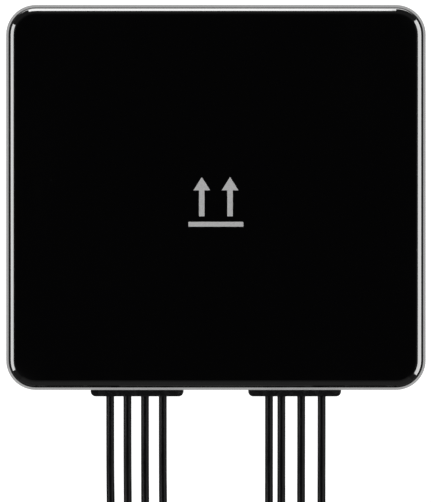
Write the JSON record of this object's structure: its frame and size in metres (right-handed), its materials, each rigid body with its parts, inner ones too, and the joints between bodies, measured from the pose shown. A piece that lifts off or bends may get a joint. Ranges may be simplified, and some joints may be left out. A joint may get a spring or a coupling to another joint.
{
  "type": "combination antenna",
  "caption": "Flat black stick-on roof antenna with rounded edges, a ground plate and radiating elements inside, and bundled coaxial leads with screw-on plugs.",
  "frame": {"origin": "middle of the mounting face, on the outer side of the adhesive pad's liner", "axes": "+Z to the sky, out of the cover's top; +X to the right along the longer side; the leads leave towards -Y"},
  "size_m": [0.1658, 0.321, 0.0243],
  "materials": {
    "cover_plastic": "glossy moulded black, faint orange peel",
    "base_plastic": "moulded black, fine texture",
    "seal_rubber": "satin",
    "adhesive_foam": "closed-cell foam, cut edge",
    "liner_film": "smooth film",
    "gland_rubber": "satin moulded",
    "vent_membrane": "felted film",
    "screw_steel": "plated",
    "clamp_plastic": "glass-filled nylon",
    "plate_aluminium": "rolled",
    "circuit_board": "solder mask over copper",
    "patch_ceramic": "fired, unglazed",
    "silver_plating": "fired silver",
    "tinned_pin": "tinned",
    "tinned_can": "bright tinned sheet",
    "element_sheet": "stamped sheet",
    "lead_jacket": "satin extruded jacket",
    "tie_fabric": "hook-and-loop strap",
    "plug_gold": "gold plated, turned and knurled",
    "nut_nickel": "nickel plated",
    "gold_contact": "gold plated",
    "insulator_white": "turned fluoropolymer",
    "shrink_sleeve": "heat-shrunk tube",
    "spring_bronze": "spring wire"
  },
  "bodies": {
    "root": {"adhesive_pad": "adhesive_foam", "base_plate": "base_plastic", "cell_element_1": "element_sheet", "cell_element_2": "element_sheet", "cell_element_3": "element_sheet", "cell_element_4": "element_sheet", "clamp_screws": "screw_steel", "contact_pins": "gold_contact", "cover_screws": "screw_steel", "cover_seal": "seal_rubber", "element_screws": "screw_steel", "gnss_board": "circuit_board", "gnss_patch": "patch_ceramic", "gnss_shield_can": "tinned_can", "ground_plate": "plate_aluminium", "ground_plate_screws": "screw_steel", "inner_leads": "lead_jacket", "insulators": "insulator_white", "lead_1": "lead_jacket", "lead_2": "lead_jacket", "lead_3": "lead_jacket", "lead_4": "lead_jacket", "lead_5": "lead_jacket", "lead_6": "lead_jacket", "lead_7": "lead_jacket", "lead_8": "lead_jacket", "lead_sleeves": "shrink_sleeve", "left_coil": "lead_jacket", "left_coil_ties": "tie_fabric", "left_gland": "gland_rubber", "left_lead_clamp": "clamp_plastic", "patch_electrode": "silver_plating", "patch_feed_pin": "tinned_pin", "plug_body_1": "plug_gold", "plug_body_2": "plug_gold", "plug_body_3": "plug_gold", "plug_body_4": "plug_gold", "plug_body_5": "plug_gold", "plug_body_6": "plug_gold", "plug_body_7": "plug_gold", "plug_body_8": "plug_gold", "release_liner": "liner_film", "retaining_rings": "spring_bronze", "right_coil": "lead_jacket", "right_coil_ties": "tie_fabric", "right_gland": "gland_rubber", "right_lead_clamp": "clamp_plastic", "top_cover": "cover_plastic", "vent_membrane": "vent_membrane", "wifi_board_1": "circuit_board", "wifi_board_2": "circuit_board", "wifi_board_3": "circuit_board"},
    "nut_1": {"coupling_nut_1": "nut_nickel"},
    "nut_2": {"coupling_nut_2": "nut_nickel"},
    "nut_3": {"coupling_nut_3": "nut_nickel"},
    "nut_4": {"coupling_nut_4": "nut_nickel"},
    "nut_5": {"coupling_nut_5": "nut_nickel"},
    "nut_6": {"coupling_nut_6": "nut_nickel"},
    "nut_7": {"coupling_nut_7": "nut_nickel"},
    "nut_8": {"coupling_nut_8": "nut_nickel"}
  },
  "joints": [
    {"name": "nut_1_spin", "type": "hinge", "parent": "root", "child": "nut_1", "pos_m": [-0.041, -0.251, 0.00475], "axis": [0, -1, 0], "continuous": true},
    {"name": "nut_2_spin", "type": "hinge", "parent": "root", "child": "nut_2", "pos_m": [-0.03, -0.251, 0.00475], "axis": [0, -1, 0], "continuous": true},
    {"name": "nut_3_spin", "type": "hinge", "parent": "root", "child": "nut_3", "pos_m": [-0.019, -0.251, 0.00475], "axis": [0, -1, 0], "continuous": true},
    {"name": "nut_4_spin", "type": "hinge", "parent": "root", "child": "nut_4", "pos_m": [-0.008, -0.251, 0.00475], "axis": [0, -1, 0], "continuous": true},
    {"name": "nut_5_spin", "type": "hinge", "parent": "root", "child": "nut_5", "pos_m": [0.008, -0.251, 0.00475], "axis": [0, -1, 0], "continuous": true},
    {"name": "nut_6_spin", "type": "hinge", "parent": "root", "child": "nut_6", "pos_m": [0.019, -0.251, 0.00475], "axis": [0, -1, 0], "continuous": true},
    {"name": "nut_7_spin", "type": "hinge", "parent": "root", "child": "nut_7", "pos_m": [0.03, -0.251, 0.00475], "axis": [0, -1, 0], "continuous": true},
    {"name": "nut_8_spin", "type": "hinge", "parent": "root", "child": "nut_8", "pos_m": [0.041, -0.251, 0.00475], "axis": [0, -1, 0], "continuous": true}
  ]
}
